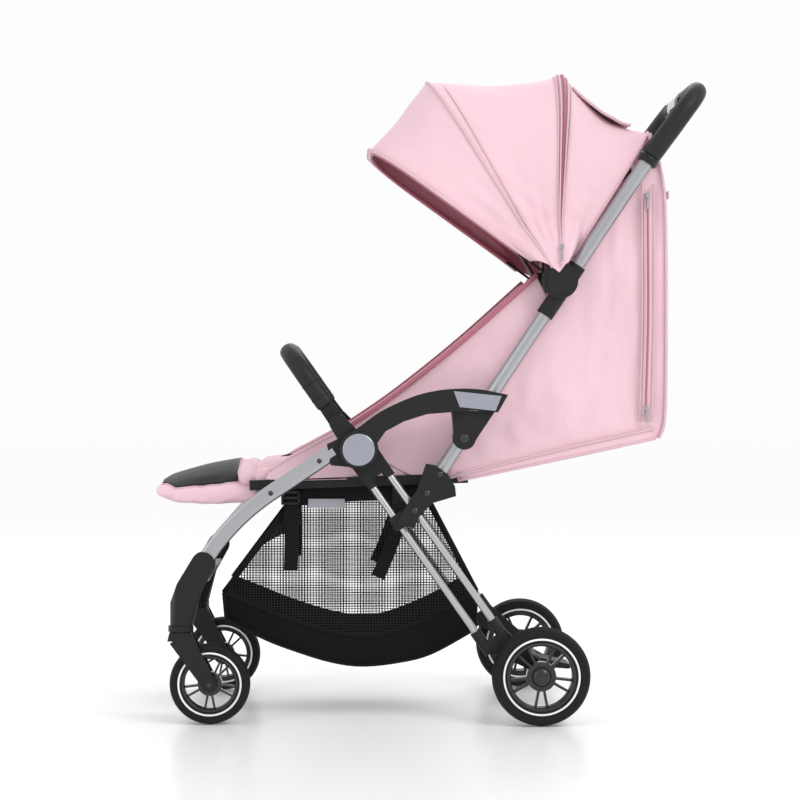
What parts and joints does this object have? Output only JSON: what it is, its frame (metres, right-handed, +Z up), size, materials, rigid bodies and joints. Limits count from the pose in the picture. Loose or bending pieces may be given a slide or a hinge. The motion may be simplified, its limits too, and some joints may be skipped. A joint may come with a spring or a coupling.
{
  "type": "baby stroller",
  "caption": "Compact folding baby stroller with canopy, reclining seat, bumper bar, legrest, mesh basket and swivelling front wheels.",
  "frame": {"origin": "on the floor, below the centre of the stroller's box", "axes": "+Z up, front towards -X, +Y to the stroller's right"},
  "size_m": [0.8906, 0.475, 1.046],
  "materials": {
    "silver_tube": "satin anodised",
    "steel": "brushed",
    "black_plastic": "fine grained moulding",
    "button_plastic": "satin moulding",
    "red_plastic": "glossy",
    "grey_plastic": "ribbed moulding",
    "lavender_trim": "satin metallic paint",
    "silver_plastic": "satin metallic",
    "gloss_rim": "semi-gloss moulding",
    "tyre": "matte foam rubber",
    "black_leather": "grained leatherette",
    "pink_fabric": "fine plain-weave polyester",
    "black_mesh": "open mesh and plain black cloth"
  },
  "bodies": {
    "rear_frame": {"rear_tubes": "silver_tube", "hub_castings": "black_plastic", "hub_pins": "steel", "hub_caps": "lavender_trim", "rear_housings": "black_plastic", "rear_axle": "steel"},
    "brake": {"brake_pedal": "black_plastic"},
    "front_frame": {"front_tubes": "silver_tube", "front_sockets": "black_plastic", "front_rivets": "steel", "castor_housings": "black_plastic", "footrest": "grey_plastic", "front_cross_tube": "silver_tube"},
    "bumper": {"bumper_bar": "black_leather", "bumper_knuckles": "black_plastic"},
    "bumper_release_left": {"bumper_button_left": "button_plastic"},
    "bumper_release_right": {"bumper_button_right": "button_plastic"},
    "castor_left": {"castor_fork_left": "black_plastic", "front_axle_left": "steel"},
    "castor_right": {"castor_fork_right": "black_plastic", "front_axle_right": "steel"},
    "front_wheel_left": {"front_tyre_left": "tyre", "front_rim_left": "gloss_rim"},
    "front_wheel_right": {"front_tyre_right": "tyre", "front_rim_right": "gloss_rim"},
    "rear_wheel_left": {"rear_tyre_left": "tyre", "rear_rim_left": "gloss_rim"},
    "rear_wheel_right": {"rear_tyre_right": "tyre", "rear_rim_right": "gloss_rim"},
    "armrests": {"armrest_shells": "black_plastic", "armrest_inlays": "lavender_trim", "armrest_rivets": "steel", "side_front_gussets": "pink_fabric"},
    "handle_frame": {"handle_tubes": "silver_tube", "handle_sleeves": "black_plastic", "canopy_discs": "black_plastic", "handle_grip": "black_leather", "fold_housing": "silver_plastic", "side_rear_gussets": "pink_fabric", "rear_panel": "pink_fabric"},
    "fold_trigger": {"fold_trigger": "button_plastic"},
    "fold_lock": {"fold_lock": "black_plastic"},
    "canopy_zip": {"zip_hoop": "black_plastic", "canopy_rear_cover": "pink_fabric"},
    "canopy_front": {"front_hoop": "black_plastic", "canopy_front_cover": "pink_fabric"},
    "canopy_visor": {"visor_hoop": "black_plastic", "canopy_visor_cover": "pink_fabric"},
    "carriage": {"fan_brackets": "black_plastic", "slider_bushes": "black_plastic", "fan_rivets": "steel", "seat_rails": "black_plastic", "seat_pan": "black_plastic", "seat_pad": "pink_fabric", "harness_buckle": "black_plastic", "basket": "black_mesh"},
    "harness_release": {"harness_button": "red_plastic"},
    "legrest": {"legrest_board": "black_plastic", "legrest_pad": "pink_fabric"},
    "backrest": {"backrest_board": "pink_fabric"}
  },
  "joints": [
    {"name": "frame_fold", "type": "hinge", "parent": "rear_frame", "child": "front_frame", "pos_m": [-0.119, 0, 0.436], "axis": [0, -1, 0], "range_deg": [0, 55], "deforming": ["side_front_gussets", "side_rear_gussets", "rear_panel", "basket", "seat_pad"]},
    {"name": "armrest_turn", "type": "hinge", "parent": "rear_frame", "child": "armrests", "pos_m": [-0.119, 0, 0.436], "axis": [0, 1, 0], "range_deg": [0, 40.41]},
    {"name": "handle_turn", "type": "hinge", "parent": "armrests", "child": "handle_frame", "pos_m": [0.04808, 0, 0.45356], "axis": [0, -1, 0], "range_deg": [0, 104.61]},
    {"name": "carriage_slide", "type": "slide", "parent": "rear_frame", "child": "carriage", "axis": [0.5764, 0, -0.8172], "range_m": [0, 0.1431]},
    {"name": "bumper_tilt", "type": "hinge", "parent": "front_frame", "child": "bumper", "pos_m": [-0.15163, 0, 0.47776], "axis": [0, 1, 0], "range_deg": [-40, 0]},
    {"name": "bumper_release_left_press", "type": "slide", "parent": "bumper", "child": "bumper_release_left", "axis": [0, -1, 0], "range_m": [-0.003, 0], "stiffness_N_per_m": 400},
    {"name": "bumper_release_right_press", "type": "slide", "parent": "bumper", "child": "bumper_release_right", "axis": [0, 1, 0], "range_m": [-0.003, 0], "stiffness_N_per_m": 400},
    {"name": "castor_swivel_left", "type": "hinge", "parent": "front_frame", "child": "castor_left", "pos_m": [-0.401, -0.19225, 0.064], "axis": [0, 0, 1], "continuous": true},
    {"name": "front_wheel_spin_left", "type": "hinge", "parent": "castor_left", "child": "front_wheel_left", "pos_m": [-0.355, -0.19225, 0.064], "axis": [0, 1, 0], "continuous": true},
    {"name": "rear_wheel_spin_left", "type": "hinge", "parent": "rear_frame", "child": "rear_wheel_left", "pos_m": [0.169, -0.2225, 0.078], "axis": [0, 1, 0], "continuous": true},
    {"name": "castor_swivel_right", "type": "hinge", "parent": "front_frame", "child": "castor_right", "pos_m": [-0.401, 0.19225, 0.064], "axis": [0, 0, 1], "continuous": true},
    {"name": "front_wheel_spin_right", "type": "hinge", "parent": "castor_right", "child": "front_wheel_right", "pos_m": [-0.355, 0.19225, 0.064], "axis": [0, 1, 0], "continuous": true},
    {"name": "rear_wheel_spin_right", "type": "hinge", "parent": "rear_frame", "child": "rear_wheel_right", "pos_m": [0.169, 0.2225, 0.078], "axis": [0, 1, 0], "continuous": true},
    {"name": "brake_press", "type": "hinge", "parent": "rear_frame", "child": "brake", "pos_m": [0.169, 0, 0.078], "axis": [0, -1, 0], "range_deg": [-20, 0]},
    {"name": "fold_trigger_squeeze", "type": "slide", "parent": "handle_frame", "child": "fold_trigger", "axis": [-0.5548, 0, -0.832], "range_m": [-0.003, 0], "stiffness_N_per_m": 500},
    {"name": "fold_lock_slide", "type": "slide", "parent": "handle_frame", "child": "fold_lock", "axis": [0, 1, 0], "range_m": [-0.008, 0]},
    {"name": "canopy_fold", "type": "hinge", "parent": "handle_frame", "child": "canopy_zip", "pos_m": [0.20205, 0, 0.70426], "axis": [0, -1, 0], "range_deg": [-26, 0], "deforming": ["canopy_rear_cover", "canopy_front_cover", "canopy_visor_cover"]},
    {"name": "front_hoop_fold", "type": "hinge", "parent": "canopy_zip", "child": "canopy_front", "pos_m": [0.20205, 0, 0.70426], "axis": [0, -1, 0], "range_deg": [-30.01, 0]},
    {"name": "visor_fold", "type": "hinge", "parent": "canopy_front", "child": "canopy_visor", "pos_m": [0.20205, 0, 0.70426], "axis": [0, -1, 0], "range_deg": [-18.01, 0]},
    {"name": "harness_button_press", "type": "slide", "parent": "carriage", "child": "harness_release", "axis": [0, 0, 1], "range_m": [-0.003, 0], "stiffness_N_per_m": 300},
    {"name": "legrest_tilt", "type": "hinge", "parent": "carriage", "child": "legrest", "pos_m": [-0.298, 0, 0.373], "axis": [0, 1, 0], "range_deg": [-55, 0]},
    {"name": "backrest_recline", "type": "hinge", "parent": "handle_frame", "child": "backrest", "pos_m": [0.021, 0, 0.387], "axis": [0, 1, 0], "range_deg": [-42, 0], "deforming": ["side_rear_gussets", "rear_panel"]}
  ],
  "couplings": [
    {"joint": "armrest_turn", "follows": "frame_fold", "ratio": 0.73455},
    {"joint": "handle_turn", "follows": "frame_fold", "ratio": 1.9018},
    {"joint": "carriage_slide", "follows": "frame_fold", "m_per_rad": 0.14897},
    {"joint": "front_hoop_fold", "follows": "canopy_fold", "ratio": 1.1539},
    {"joint": "visor_fold", "follows": "canopy_fold", "ratio": 0.69231}
  ]
}
